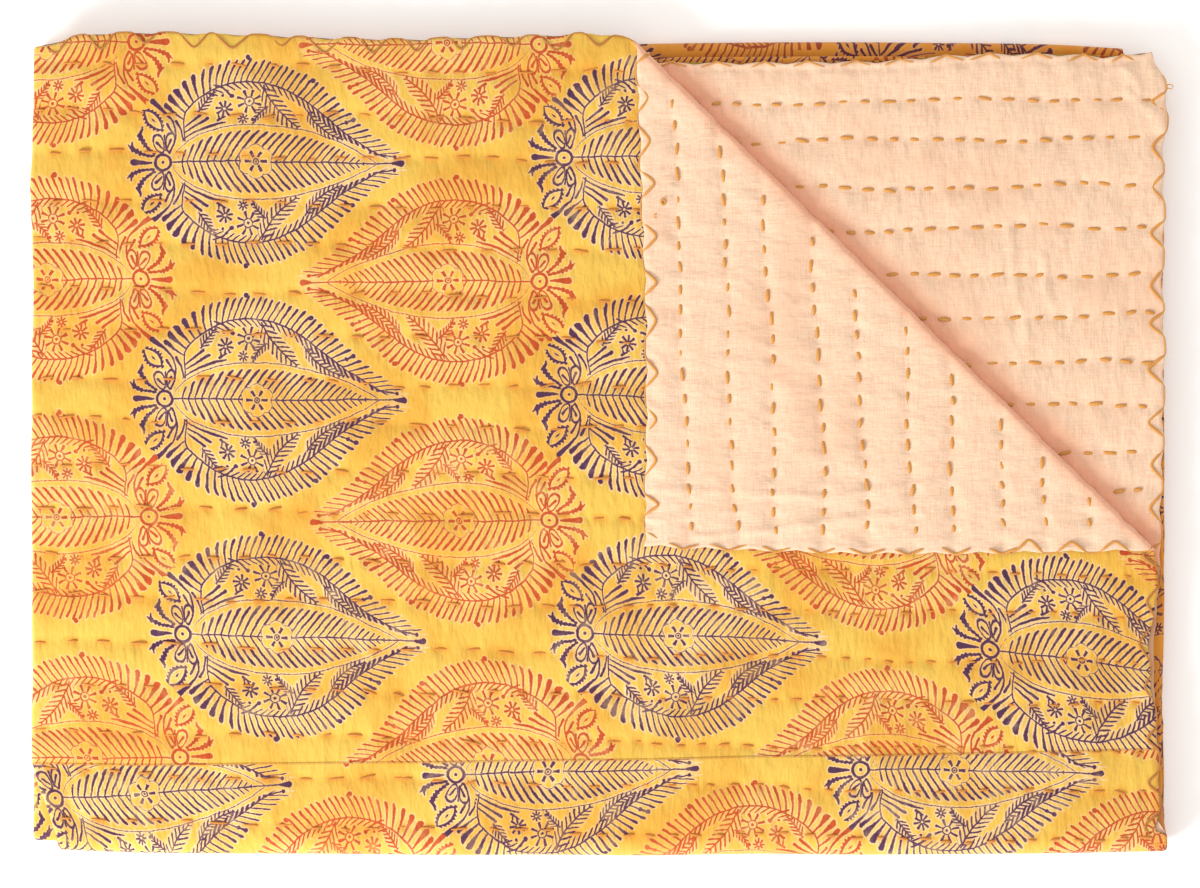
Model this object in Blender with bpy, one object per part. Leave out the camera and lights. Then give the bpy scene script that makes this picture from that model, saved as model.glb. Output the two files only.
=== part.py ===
"""Kantha quilt, folded to lie on a shelf.

Two cotton cloths, a printed face and a plain back, are stitched together in long running rows. The
quilt is folded in half across its width, back inside, and then twice along its length, which gives
eight leaves. The top leaf's far right corner is turned back over the pile on a diagonal.

Both cloths are one flat pattern, bent by one function of three cloth coordinates: u across the
width, v along the length, and w through the thickness. Metres, +Z up. The origin is on the surface
it lies on, under the middle of the folded pile.
"""
from collections import namedtuple
from math import pi

import bmesh
import bpy
import numpy as np

MM = 0.001

# The quilt laid flat, and its two cloths.
WIDTH = 1.500
CLOTH = 1.0 * MM
CLOTH_GAP = 0.38 * MM
QUILT = 2 * CLOTH + CLOTH_GAP
LEAF_GAP = 0.65 * MM

# The fold across the width: a round turn at the left edge, with a leaf on each side of it.
TURN = (QUILT + LEAF_GAP) / 2
LEAF = (WIDTH - pi * TURN) / 2
PAIR = 2 * QUILT + LEAF_GAP
PITCH = PAIR + LEAF_GAP

# Where the folds and hems along the length lie, from the middle of the pile: near is towards -Y.
NEAR_TURN = -0.2603
FAR_TURN = 0.2624
TOP_HEM = 0.2704
INNER_HEM = 0.2569
LEFT_TURN = -0.3730

# Segments of the quilt's run in the YZ plane, from the top leaf's far hem to the inner leaf's.
# Straight ones have no radius. A positive radius turns down and under, a negative one back again.
Run = namedtuple("Run", "name length radius")
NEAR_RADIUS = 1.5 * PITCH
SMALL_RADIUS = 0.5 * PITCH
RUNS = (
    Run("top leaf", TOP_HEM - NEAR_TURN, 0),
    Run("near outer fold", pi * NEAR_RADIUS, NEAR_RADIUS),
    Run("bottom leaf", FAR_TURN - NEAR_TURN, 0),
    Run("far fold", pi * SMALL_RADIUS, SMALL_RADIUS),
    Run("lower middle leaf", FAR_TURN - NEAR_TURN, 0),
    Run("near inner fold", pi * SMALL_RADIUS, -SMALL_RADIUS),
    Run("upper middle leaf", INNER_HEM - NEAR_TURN, 0),
)
LENGTH = sum(run.length for run in RUNS)
TOP_LEAF = RUNS[0].length
TOP_LEVEL = PAIR / 2 + 3 * PITCH

# The turned-back corner: a straight crease from the far hem to the right hem.
CREASE_FROM = (0.0272, 0.2648)
CREASE_TO = (0.3712, -0.0715)
FLAP_GAP = 1.45 * MM
FLAP_RADIUS = (QUILT + FLAP_GAP) / 2

# Quilting rows run across the width of the top leaf, in pairs.
FIRST_ROW = 0.0165
ROW_PITCH = 0.02945
ROW_STAGGER = 2.2 * MM
ROW_RISE = 1.0 * MM

# How far each edge wanders outwards, in mm, at equal steps from its first end to its last.
Edge = namedtuple("Edge", "name wander")
HEM_FAR_TOP = Edge("far hem of the top leaf, printed side, right to left",
                   (0, -2.5, -4.0, -3.0, 2.0, 1.0, -1.5, 0.5, 2.5, 3.0, 0.5, -6.0))
HEM_FAR_UNDER = Edge("far hem of the top leaf, under side, left to right",
                     (-3, -5, -6, -8, -10, -12.5, -12.5, -11.5, -10.5, -9.5, -9.0))
HEM_FAR_INNER = Edge("far hem of the inner leaf, right to left and back",
                     (2, 0, -1, 1, 2, 0, -2, 0, 1, 2, 0))
HEM_RIGHT_PRINTED = Edge("right hem on the printed side, from the top leaf's far end",
                         (-14, -10.5, -6.5, -6, -2, -4, -3, 1.0, 2.5, 2.5, 1.5, 0, 1.0, 2.0, 1.5, 0.5))
HEM_RIGHT_UNDER = Edge("right hem on the under side, from the top leaf's far end",
                       (-4, 0.5, 1.0, -2.0, -1.5, 1.0, 3.0, 1.5, 0, 2.5, 1.0, -1.0, 0.5, 2.0, 1, 0))
LEFT_TOP = Edge("left fold of the top leaf, far to near",
                (-1.5, -0.5, 0.5, 1.5, -0.5, -0.5, 1.0, 0.2, 0.5, 0.8, 0.8, 0))
LEFT_BELOW = Edge("left fold of the leaves below, in the order of the run",
                  (0, 0.5, 0, -2, 1, -1, 0.5, 0, 0.5, -1, -2, -0.5, -1))
NEAR_FOLDS = Edge("near folds, left to right",
                  (-3.0, -0.5, 0, 0.3, 1.0, 0.8, 1.3, 0.2, 0.8, 0.4, -0.2, -1.5))
FAR_FOLD = Edge("far fold, left to right",
                (-6.0, -1.0, 0, 0, -1.0, -1.0, 0, 0.5, 0, -1.0, -5.0))

# The outer near fold's left corner is drawn in, and shows the folds inside it.
CORNER_PULL = 18 * MM
CORNER_REACH = 0.055

# The pile stands higher where the cloth springs back, over its folds, and sinks to its hems. Each
# row is a place up from the near folds, as a share of the leaf, and how much the pile is raised
# there at the places in PILE_ACROSS, from the left fold.
Pile = namedtuple("Pile", "along raised")
PILE_ACROSS = (0, 1 / 6, 2 / 6, 4 / 6, 5 / 6, 1)
PILE = (
    Pile(0.00, (0.15, 0.11, 0.08, 0.07, 0.08, 0.06)),
    Pile(0.12, (0.12, 0.06, 0.03, 0.02, 0.03, 0.02)),
    Pile(0.40, (0.11, 0.03, 0.00, 0.03, 0.01, 0.01)),
    Pile(0.72, (0.10, 0.04, 0.03, 0.01, 0.02, 0.00)),
    Pile(1.00, (0.12, 0.04, 0.01, 0.03, 0.02, 0.01)),
)

# How finely the cloth is divided: cells across a leaf, in the turn across, and in a near or far
# fold. Along a lower leaf the lines lie at the pile's own places.
CELLS_ACROSS = 6
CELLS_TURN = 4
CELLS_FOLD = 6

Finish = namedtuple("Finish", "colour roughness")
PRINTED_COTTON = Finish((0.93, 0.56, 0.055, 1), 0.9)
PLAIN_COTTON = Finish((0.93, 0.62, 0.40, 1), 0.92)


def wander(edge, place):
    """The edge's wander in metres at place, 0 to 1: a smooth curve through its steps."""
    steps = np.array(edge.wander) * MM
    steps = np.concatenate((steps[:1], steps, steps[-1:]))
    along = np.clip(place, 0, 1) * (len(steps) - 3)
    cell = np.minimum(along.astype(int), len(steps) - 4)
    f = along - cell
    before, start, end, after = (steps[cell + k] for k in range(4))
    slope_in, slope_out = (end - before) / 2, (after - start) / 2
    return (start * (1 - 3 * f**2 + 2 * f**3) + end * (3 * f**2 - 2 * f**3)
            + slope_in * (f - 2 * f**2 + f**3) + slope_out * (f**3 - f**2))


def row_places():
    """The rows' places along the top leaf, in pairs: every second row is moved on by the stagger."""
    count = int((TOP_LEAF - FIRST_ROW) / ROW_PITCH) + 1
    k = np.arange(count)
    return FIRST_ROW + k * ROW_PITCH + ROW_STAGGER * (k % 2)


def stations():
    """The u and v of the flat cloth's cross lines: even in the leaves, closer in the turns."""
    half = np.linspace(0, LEAF, CELLS_ACROSS + 1)
    u = np.concatenate((half, np.linspace(LEAF, WIDTH - LEAF, CELLS_TURN + 1)[1:-1],
                        WIDTH - half[::-1]))
    rows = row_places()
    crests = (rows[1:] + rows[:-1]) / 2
    v = [np.sort(np.concatenate(((0, TOP_LEAF), rows, crests)))]
    start = TOP_LEAF
    lines = np.array([row.along for row in PILE])
    for i, run in enumerate(RUNS[1:]):
        if run.radius:
            v.append(np.linspace(start, start + run.length, CELLS_FOLD + 1)[1:])
        else:
            # A leaf that heads back to the near folds has its lines the other way round.
            ends = lines if run.name != "lower middle leaf" else 1 - lines[::-1]
            v.append(start + run.length * ends[1:])
        start += run.length
    return u, np.concatenate(v)


def trim_hems(u, v):
    """Moves the points on the four hems out by the hems' wander, and no others."""
    printed, tiny = u < WIDTH / 2, 1e-6
    far = np.where(printed, wander(HEM_FAR_TOP, u / (WIDTH / 2)),
                   wander(HEM_FAR_UNDER, u / (WIDTH / 2) - 1))
    dv = np.where(v < tiny, -far, np.where(v > LENGTH - tiny, wander(HEM_FAR_INNER, u / WIDTH), 0))
    du = np.where(u < tiny, -wander(HEM_RIGHT_PRINTED, v / LENGTH),
                  np.where(u > WIDTH - tiny, wander(HEM_RIGHT_UNDER, v / LENGTH), 0))
    return u + du, v + dv


def fold_across(u, w):
    """A hairpin at the left: the printed leaf above it, a round turn, and the under leaf below.
    Gives x from the turn's centre and n, the height from the middle of the pair."""
    angle = np.clip((u - LEAF) / TURN, 0, pi)
    reach = TURN + w
    x = np.where(u < LEAF, LEAF - u, np.where(u > WIDTH - LEAF, u - (WIDTH - LEAF), 0))
    return x - reach * np.sin(angle), reach * np.cos(angle)


def run_along(v, n):
    """Carries the pair along the runs in the YZ plane, heading -Y at the top and turning down. A
    point is the run's own point plus n times its normal, which the heading turns with."""
    y, z, heading, start = TOP_HEM, TOP_LEVEL, 0.0, 0.0
    points = np.empty((2, len(v)))
    for i, run in enumerate(RUNS):
        inside = v >= start if i else np.ones(len(v), bool)
        s = v[inside] - start
        turned = heading + (s / run.radius if run.radius else 0 * s)
        if run.radius:
            py = y - run.radius * (np.sin(turned) - np.sin(heading))
            pz = z + run.radius * (np.cos(turned) - np.cos(heading))
        else:
            py, pz = y - s * np.cos(heading), z - s * np.sin(heading)
        points[:, inside] = (py - n[inside] * np.sin(turned), pz + n[inside] * np.cos(turned))
        end = heading + (run.length / run.radius if run.radius else 0)
        if run.radius:
            y -= run.radius * (np.sin(end) - np.sin(heading))
            z += run.radius * (np.cos(end) - np.cos(heading))
        else:
            y -= run.length * np.cos(heading)
        heading, start = end, start + run.length
    return points


def crease():
    """The crease's first point, and the unit direction across it, towards the corner."""
    a, b = np.array(CREASE_FROM), np.array(CREASE_TO)
    d = (b - a) / np.hypot(*(b - a))
    return a, np.array((-d[1], d[0]))


def turn_corner(x, y, z, w):
    """Rolls what lies past the crease up and over, back across the pile. The crease's outer side
    is on its line. Also gives how level each point lies, 1 flat to 0 on edge."""
    a, across = crease()
    outer = FLAP_RADIUS + QUILT / 2
    past = (x - a[0]) * across[0] + (y - a[1]) * across[1] + outer
    angle = np.clip(past / FLAP_RADIUS, 0, pi)
    reach = FLAP_RADIUS - w
    landed = np.where(angle < pi, reach * np.sin(angle), -(past - pi * FLAP_RADIUS))
    shift = np.where(past > 0, landed - past, 0)
    rise = np.where(past > 0, w * (np.cos(angle) - 1) + FLAP_RADIUS * (1 - np.cos(angle)), 0)
    return x + shift * across[0], y + shift * across[1], z + rise, np.abs(np.cos(angle))


def quilting(v):
    """Height of the puffed cloth between rows: ROW_RISE midway between two rows, nothing on one."""
    rows = row_places()
    places = np.sort(np.concatenate((rows, (rows[1:] + rows[:-1]) / 2)))
    heights = np.where(np.isin(places, rows), 0.0, ROW_RISE)
    return np.interp(v, places, heights, left=0, right=0)


def fold(u, v, w):
    """Takes cloth coordinates to places in the folded pile."""
    x, n = fold_across(u, w)
    y, z = run_along(v, n)
    top = v < TOP_LEAF
    share = np.clip(x / LEAF, 0, 1)
    x = x + LEFT_TURN
    turned = turn_corner(x, y, z, w)
    corner = top & (u < LEAF)
    x, y, z = (np.where(corner, new, old) for new, old in zip(turned, (x, y, z)))
    z = z + quilting(v) * np.where(corner, turned[3], 1)
    # The folds wander sideways.
    left = np.where(top, wander(LEFT_TOP, v / TOP_LEAF),
                    wander(LEFT_BELOW, (v - TOP_LEAF) / (LENGTH - TOP_LEAF)))
    drawn = CORNER_PULL * np.clip(1 - np.abs(v - TOP_LEAF - NEAR_RADIUS) / CORNER_REACH, 0, 1)
    x = x + (drawn - left) * (1 - share) ** 6
    across = np.clip((x - LEFT_TURN) / LEAF, 0, 1)
    depth = np.clip((y - NEAR_TURN) / (FAR_TURN - NEAR_TURN), 0, 1)
    middle = (v > TOP_LEAF) & (v < LENGTH - RUNS[-1].length)
    y = y - wander(NEAR_FOLDS, across) * (1 - depth) ** 3
    y = y + np.where(middle, wander(FAR_FOLD, across) * depth**3, 0)
    return np.column_stack((x, y, z * raised(across, depth)))


def raised(across, depth):
    """How much taller the pile is at a place, 1 or more, straight between the places of PILE."""
    rises = [np.interp(across, PILE_ACROSS, row.raised) for row in PILE]
    total = np.ones(len(across))
    for k, row in enumerate(PILE):
        tent = np.zeros(len(PILE))
        tent[k] = 1
        total += np.interp(depth, [r.along for r in PILE], tent) * rises[k]
    return total


def flat_cloth():
    """The flat pattern as triangles in (u, v): a grid on the stations, hems trimmed to their
    wander, cut again along the lines of the crease's bend."""
    u, v = stations()
    bm = bmesh.new()
    bmesh.ops.create_grid(bm, x_segments=len(u) - 1, y_segments=len(v) - 1, size=0.5)
    for p in bm.verts:
        i, j = round((p.co.x + 0.5) * (len(u) - 1)), round((p.co.y + 0.5) * (len(v) - 1))
        p.co = (u[i], v[j], 0)
    grid = np.array([p.co for p in bm.verts])
    for p, place in zip(bm.verts, np.column_stack(trim_hems(grid[:, 0], grid[:, 1]))):
        p.co = (*place, 0)
    a, across = crease()
    # On the top leaf x falls with u and y falls with v, so the crease's line turns with them.
    normal = (-across[0], -across[1], 0)
    outer = FLAP_RADIUS + QUILT / 2
    for k in range(CELLS_TURN + 1):
        past = pi * FLAP_RADIUS * k / CELLS_TURN - outer
        at = (LEAF + LEFT_TURN - a[0] - across[0] * past, TOP_HEM - a[1] - across[1] * past, 0)
        leaf = [f for f in bm.faces if max(p.co.x for p in f.verts) < LEAF + TURN / 10
                and max(p.co.y for p in f.verts) < TOP_LEAF + TURN / 10]
        geom = leaf + list({e for f in leaf for e in f.edges}) + list({p for f in leaf for p in f.verts})
        bmesh.ops.bisect_plane(bm, geom=geom, dist=1e-5, plane_co=at, plane_no=normal)
    bmesh.ops.triangulate(bm, faces=bm.faces, quad_method="SHORT_EDGE", ngon_method="BEAUTY")
    return bm


def cloth(name, low, high, finish, collection):
    """One cloth of the quilt, a closed slab from w = low to w = high, folded into the pile."""
    bm = flat_cloth()
    bottom = list(bm.faces)
    made = bmesh.ops.extrude_face_region(bm, geom=bottom, use_keep_orig=True)["geom"]
    for p in (g for g in made if isinstance(g, bmesh.types.BMVert)):
        p.co.z = 1
    bmesh.ops.recalc_face_normals(bm, faces=bm.faces)
    mesh = bpy.data.meshes.new(name)
    bm.to_mesh(mesh)
    bm.free()
    places = np.empty(3 * len(mesh.vertices), np.float32)
    mesh.vertices.foreach_get("co", places)
    u, v, side = places.reshape(-1, 3).astype(float).T
    folded = fold(u, v, np.where(side > 0.5, high, low))
    mesh.vertices.foreach_set("co", folded.astype(np.float32).ravel())
    mesh.update()
    material = bpy.data.materials.new(name)
    material.use_nodes = True
    shader = material.node_tree.nodes["Principled BSDF"]
    shader.inputs["Base Color"].default_value = finish.colour
    shader.inputs["Roughness"].default_value = finish.roughness
    mesh.materials.append(material)
    piece = bpy.data.objects.new(name, mesh)
    collection.objects.link(piece)
    return piece


for old in list(bpy.data.objects):
    bpy.data.objects.remove(old, do_unlink=True)
quilt = bpy.data.collections.new("kantha_quilt")
bpy.context.scene.collection.children.link(quilt)
cloth("printed_face", CLOTH_GAP / 2, QUILT / 2, PRINTED_COTTON, quilt)
cloth("plain_back", -QUILT / 2, -CLOTH_GAP / 2, PLAIN_COTTON, quilt)
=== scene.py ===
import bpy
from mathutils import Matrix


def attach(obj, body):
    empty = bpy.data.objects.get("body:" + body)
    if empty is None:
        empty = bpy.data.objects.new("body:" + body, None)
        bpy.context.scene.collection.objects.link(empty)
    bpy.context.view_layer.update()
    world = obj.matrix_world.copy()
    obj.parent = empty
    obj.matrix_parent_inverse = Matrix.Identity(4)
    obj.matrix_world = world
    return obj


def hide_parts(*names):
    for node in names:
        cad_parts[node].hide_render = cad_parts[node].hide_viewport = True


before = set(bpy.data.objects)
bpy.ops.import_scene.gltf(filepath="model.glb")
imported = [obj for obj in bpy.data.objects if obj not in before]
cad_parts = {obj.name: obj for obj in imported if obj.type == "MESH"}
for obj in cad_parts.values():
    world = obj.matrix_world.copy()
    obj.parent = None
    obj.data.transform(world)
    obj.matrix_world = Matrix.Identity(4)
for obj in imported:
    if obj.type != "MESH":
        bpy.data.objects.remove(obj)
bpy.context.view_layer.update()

from math import pi

import bpy
import numpy as np

MM = 0.001

# ---------------------------------------------------------------------------------------------
# The printed face. One cloth of yellow block-printed cotton, pieced from two panels and sewn to the
# plain back at its hems and rows. The quilt is folded in half across its width with the plain back
# inside, then in four along its length, and the top leaf's corner is turned back on a diagonal.

# The folded pile, in the sizes of its solids: the quilt's width and thickness, the gap between its
# leaves, the width of each half, the thickness of two halves and their gap, and the height from
# one such pair to the next.
WIDTH = 1.500
QUILT = 2.38 * MM
LEAF_GAP = 0.65 * MM
TURN = (QUILT + LEAF_GAP) / 2
LEAF = (WIDTH - pi * TURN) / 2
PAIR = 2 * QUILT + LEAF_GAP
PITCH = PAIR + LEAF_GAP
# Where the folds and hems lie, and the runs from the top leaf's hem to the innermost hem: each has a
# length and a radius, which is 0 on a flat leaf.
NEAR_TURN = -0.2603
FAR_TURN = 0.2624
TOP_HEM = 0.2704
INNER_HEM = 0.2569
LEFT_TURN = -0.3730
NEAR_RADIUS = 1.5 * PITCH
SMALL_RADIUS = 0.5 * PITCH
RUNS = (
    (TOP_HEM - NEAR_TURN, 0),
    (pi * NEAR_RADIUS, NEAR_RADIUS),
    (FAR_TURN - NEAR_TURN, 0),
    (pi * SMALL_RADIUS, SMALL_RADIUS),
    (FAR_TURN - NEAR_TURN, 0),
    (pi * SMALL_RADIUS, -SMALL_RADIUS),
    (INNER_HEM - NEAR_TURN, 0),
)
LENGTH = sum(length for length, _ in RUNS)
TOP_LEAF = RUNS[0][0]
TOP_LEVEL = PAIR / 2 + 3 * PITCH


def wander(steps, place):
    """A smooth curve through equal steps, in metres: each cell is the cubic that passes its two
    ends with slopes of half the step between their neighbours."""
    steps = np.array(steps) * MM
    steps = np.concatenate((steps[:1], steps, steps[-1:]))
    along = np.clip(place, 0, 1) * (len(steps) - 3)
    cell = np.minimum(along.astype(int), len(steps) - 4)
    f = along - cell
    before, start, end, after = (steps[cell + k] for k in range(4))
    return (start * (1 - 3 * f**2 + 2 * f**3) + end * (3 * f**2 - 2 * f**3)
            + (end - before) / 2 * (f - 2 * f**2 + f**3) + (after - start) / 2 * (f**3 - f**2))


# How far the hems wander outwards, in mm, at equal steps along each, and how far in that is felt.
FAR_PRINTED = (-1.5, -2.2, -2.8, -4.2, -4.8, -5.5, -5.5, -4.8, -4.5, -4.2, -3.5, -2.8, 2.5, 1.2,
               0.5, -0.2, -1.5, -0.8, -0.2, 1.2, 2.2, 2.8, 2.8, 1.2, -6.8)
FAR_UNDER = (-7, -7, -8, -9, -9, -10, -11, -12, -13, -14, -15, -16, -16.7, -16.7, -16.7, -16.7,
             -16.4, -16, -15.7, -13, -11.2, -10.8, -11.2, -12.5, -9.2)
FAR_INNER = (-5, 0, -1, 1, 2, 0, -2, 0, 1, 1, -5)
RIGHT_PRINTED = (-16, -14, -12.5, -11, -9.5, -8, -7, -6.5, -6, -5.8, -5.6, -5.2, -5.0, -4.8, -4.2,
                 -9.0, -8.6, -5.0, -3.2, -2.6, -4.4)
RIGHT_UNDER = (-7.4, 1.2, 2.9, 0.2, 1.0, 0.8, -0.2, 0.6, 1.2, 0.4, 0.2, -0.4, -1.4, -1.4, -3.0,
               -5.6, -6.0, -4.2, -2.8, -1.4, 2.0)
RIGHT_BELOW = (2.5, 1.5, 0.0, -1.0, -2.0, -28.0, -0.5, 1.0, 2.0, 0.5, -1.0, 0.0, 1.5, 0.5, -2.0, -9.5)
HEM_REACH = 60 * MM

# How far apart the edge thread's stitches are, and how far in from the hem they scallop it.
EDGE_PITCH = 30.2 * MM
SCALLOP_REACH = 8 * MM


def scallop(s):
    """How far a hem bulges between the edge thread's stitches: the size of a sine less 0.7, times
    1.7 mm."""
    return 1.7 * MM * (np.abs(np.sin(pi * (s / EDGE_PITCH - 0.38))) - 0.7)


def trim(u, v):
    """Moves a point by the wander of the hems beside it and by their scallops: all of each on the
    hem, and less with the square of the distance in, down to none."""
    printed = u < WIDTH / 2
    far = np.where(printed, wander(FAR_PRINTED, u / (WIDTH / 2)),
                   wander(FAR_UNDER, u / (WIDTH / 2) - 1))
    inner = wander(FAR_INNER, u / WIDTH)
    below = wander(RIGHT_BELOW, (v - TOP_LEAF) / (LENGTH - TOP_LEAF))
    top = v < TOP_LEAF
    right = np.where(top, np.where(printed, wander(RIGHT_PRINTED, v / TOP_LEAF),
                                   wander(RIGHT_UNDER, v / TOP_LEAF)), below)
    side = np.minimum(u, WIDTH - u)
    du = (right * np.clip(1 - side / HEM_REACH, 0, 1) ** 2
          + scallop(v) * np.clip(1 - side / SCALLOP_REACH, 0, 1) ** 2)
    dv = (-far * np.clip(1 - v / HEM_REACH, 0, 1) ** 2
          - scallop(u) * np.clip(1 - v / SCALLOP_REACH, 0, 1) ** 2
          + inner * np.clip(1 - (LENGTH - v) / HEM_REACH, 0, 1) ** 2)
    return u + np.where(printed, -du, du), v + dv


def fold_across(u, w):
    """A hairpin at the left: the printed leaf above it, a round turn, and the under leaf below.
    Gives x from the turn's centre and n, the height from the middle of the pair."""
    angle = np.clip((u - LEAF) / TURN, 0, pi)
    x = np.where(u < LEAF, LEAF - u, np.where(u > WIDTH - LEAF, u - (WIDTH - LEAF), 0))
    return x - (TURN + w) * np.sin(angle), (TURN + w) * np.cos(angle)


def run_along(v, n):
    """Carries the pair along its runs in the YZ plane. A point is the run's own point plus n times
    its normal, and both turn with the heading, which is the length gone divided by the radius."""
    y, z, heading, start = TOP_HEM, TOP_LEVEL, 0.0, 0.0
    points = np.empty((2, len(v)))
    for i, (length, radius) in enumerate(RUNS):
        inside = v >= start if i else np.ones(len(v), bool)
        s = v[inside] - start
        if radius:
            turned = heading + s / radius
            points[0, inside] = y - radius * (np.sin(turned) - np.sin(heading))
            points[1, inside] = z + radius * (np.cos(turned) - np.cos(heading))
            end = heading + length / radius
            y -= radius * (np.sin(end) - np.sin(heading))
            z += radius * (np.cos(end) - np.cos(heading))
        else:
            turned = end = np.full(len(s), heading)
            points[:, inside] = y - s * np.cos(heading), np.full(len(s), z)
            end = heading
            y -= length * np.cos(heading)
        points[0, inside] -= n[inside] * np.sin(turned)
        points[1, inside] += n[inside] * np.cos(turned)
        heading, start = end, start + length
    return points


# The diagonal crease, in the pile's x and y, the gap under the turned corner, and how far the
# springy fold lifts the leaves beside it.
CREASE_FROM = (0.0272, 0.2648)
CREASE_TO = (0.3712, -0.0715)
FLAP_GAP = 1.45 * MM
FLAP_RADIUS = (QUILT + FLAP_GAP) / 2
CREASE_LIFT = 0.7 * MM
CREASE_SPREAD = 34 * MM


def turn_corner(x, y, z, w):
    """Rolls what lies past the crease up and over, back across the pile, round a half circle whose
    outer side is on the crease's line, and lifts the leaves beside the crease by a normal curve of
    their distance. Also gives how level each point then lies."""
    a, b = np.array(CREASE_FROM), np.array(CREASE_TO)
    d = (b - a) / np.hypot(*(b - a))
    past = (y - a[1]) * d[0] - (x - a[0]) * d[1] + FLAP_RADIUS + QUILT / 2
    angle = np.clip(past / FLAP_RADIUS, 0, pi)
    landed = np.where(angle < pi, (FLAP_RADIUS - w) * np.sin(angle), pi * FLAP_RADIUS - past)
    shift = np.where(past > 0, landed - past, 0)
    rise = np.where(past > 0, (FLAP_RADIUS - w) * (1 - np.cos(angle)), 0)
    rise = rise + CREASE_LIFT * np.exp(-((past / CREASE_SPREAD) ** 2))
    return x - shift * d[1], y + shift * d[0], z + rise, np.abs(np.cos(angle))


# The quilting rows, and how far they drift by the right hems: printed side, then under side.
FIRST_ROW = 0.0165
ROW_PITCH = 0.02945
ROW_STAGGER = 2.2 * MM
ROW_RISE = 0.8 * MM
ROW_DRIFT = (14.6 * MM, -9.3 * MM)


def row_line(k, u):
    """Row k's place along the cloth, where it crosses u: rows lie in pairs, drift towards the right
    hems in step with their distance from the left fold, and waver a little."""
    drift = np.where(u < WIDTH / 2, ROW_DRIFT[0], ROW_DRIFT[1]) * np.abs(u - WIDTH / 2) / (WIDTH / 2)
    waver = 1.3 * np.sin(2 * pi * u / 0.21 + 1.7 * k) + 0.7 * np.sin(2 * pi * u / 0.083 + k)
    return FIRST_ROW + k * ROW_PITCH + ROW_STAGGER * (k % 2) + drift + waver * MM


def nearest_row(u, v):
    """The number of the row nearest a point, and how far off it is, up to half a pitch."""
    first = np.round((v - row_line(0, u)) / ROW_PITCH)
    number, off = first, np.full(len(u), 1.0)
    for k in (first - 1, first, first + 1):
        there = np.abs(v - row_line(k, u))
        number, off = np.where(there < off, k, number), np.minimum(there, off)
    return number.astype(int), np.minimum(off, ROW_PITCH / 2)


def row_phase(u, v):
    """How far a point is from the nearest row: 0 on a row and 1/2 midway."""
    return nearest_row(u, v)[1] / ROW_PITCH


# How much the pile stands up, from the near folds to the far ones and from left to right.
PILE_ALONG = (0, 0.12, 0.40, 0.72, 1)
PILE_ACROSS = (0, 1 / 6, 2 / 6, 4 / 6, 5 / 6, 1)
PILE = np.array((
    (0.15, 0.11, 0.08, 0.07, 0.08, 0.06),
    (0.12, 0.06, 0.03, 0.02, 0.03, 0.02),
    (0.11, 0.03, 0.00, 0.03, 0.01, 0.01),
    (0.10, 0.04, 0.03, 0.01, 0.02, 0.00),
    (0.12, 0.04, 0.01, 0.03, 0.02, 0.01),
))


def raised(across, depth):
    """How much taller the pile is at a place, 1 or more, straight between the places of PILE."""
    total = np.ones(len(across))
    for k in range(len(PILE_ALONG)):
        tent = np.interp(depth, PILE_ALONG, np.eye(len(PILE_ALONG))[k])
        total += tent * np.interp(across, PILE_ACROSS, PILE[k])
    return total


# How far the folds wander outwards, in mm, at equal steps along each, and how far the near left
# corner is drawn in.
LEFT_TOP = (-1.2, -0.5, 0.4, 1.4, 0.2, -0.4, 0.8, 0.6, 1.2, 0.8, 0.4, 0.6, 0.2, 0.8, 0.4, 0)
LEFT_BELOW = (0, 0.5, 0, -2, 1, -1, 0.5, 0, 0.5, -1, -2, -0.5, -1)
NEAR_FOLDS = (-3.0, -0.5, 0, 0.3, 1.0, 0.8, 1.3, 0.2, 0.8, 0.4, -0.2, -1.5)
FAR_FOLD = (-6.0, -1.0, 0, 0, -1.0, -1.0, 0, 0.5, 0, -1.0, -5.0)
CORNER_PULL = 18 * MM
CORNER_REACH = 0.055


def fold(u, v, w):
    """Takes points of the flat cloth, u across it, v along it and w up from its middle on the printed
    side, to their places in the pile: trimmed to the hems, folded across and along, the corner
    turned, puffed up between the rows by a sine, and moved by the wander of the folds, which fades
    with a power of the distance from them."""
    u, v = trim(u, v)
    x, n = fold_across(u, w)
    y, z = run_along(v, n)
    top = v < TOP_LEAF
    share = np.clip(x / LEAF, 0, 1)
    x = x + LEFT_TURN
    *turned, level = turn_corner(x, y, z, w)
    corner = top & (u < LEAF)
    x, y, z = (np.where(corner, new, old) for new, old in zip(turned, (x, y, z)))
    ends = np.clip(np.minimum(v, TOP_LEAF - v) / FIRST_ROW, 0, 1)
    puffed = ROW_RISE * np.sin(pi * row_phase(u, v)) * ends
    z = z + np.where(top, puffed * np.where(corner, level, 1), 0)
    left = np.where(top, wander(LEFT_TOP, v / TOP_LEAF),
                    wander(LEFT_BELOW, (v - TOP_LEAF) / (LENGTH - TOP_LEAF)))
    drawn = CORNER_PULL * np.clip(1 - np.abs(v - TOP_LEAF - NEAR_RADIUS) / CORNER_REACH, 0, 1)
    x = x + (drawn - left) * (1 - share) ** 6
    across = np.clip((x - LEFT_TURN) / LEAF, 0, 1)
    depth = np.clip((y - NEAR_TURN) / (FAR_TURN - NEAR_TURN), 0, 1)
    middle = (v > TOP_LEAF) & (v < LENGTH - RUNS[-1][0])
    y = y - wander(NEAR_FOLDS, across) * (1 - depth) ** 3
    y = y + np.where(middle, wander(FAR_FOLD, across) * depth**3, 0)
    return np.column_stack((x, y, z * raised(across, depth)))


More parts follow.
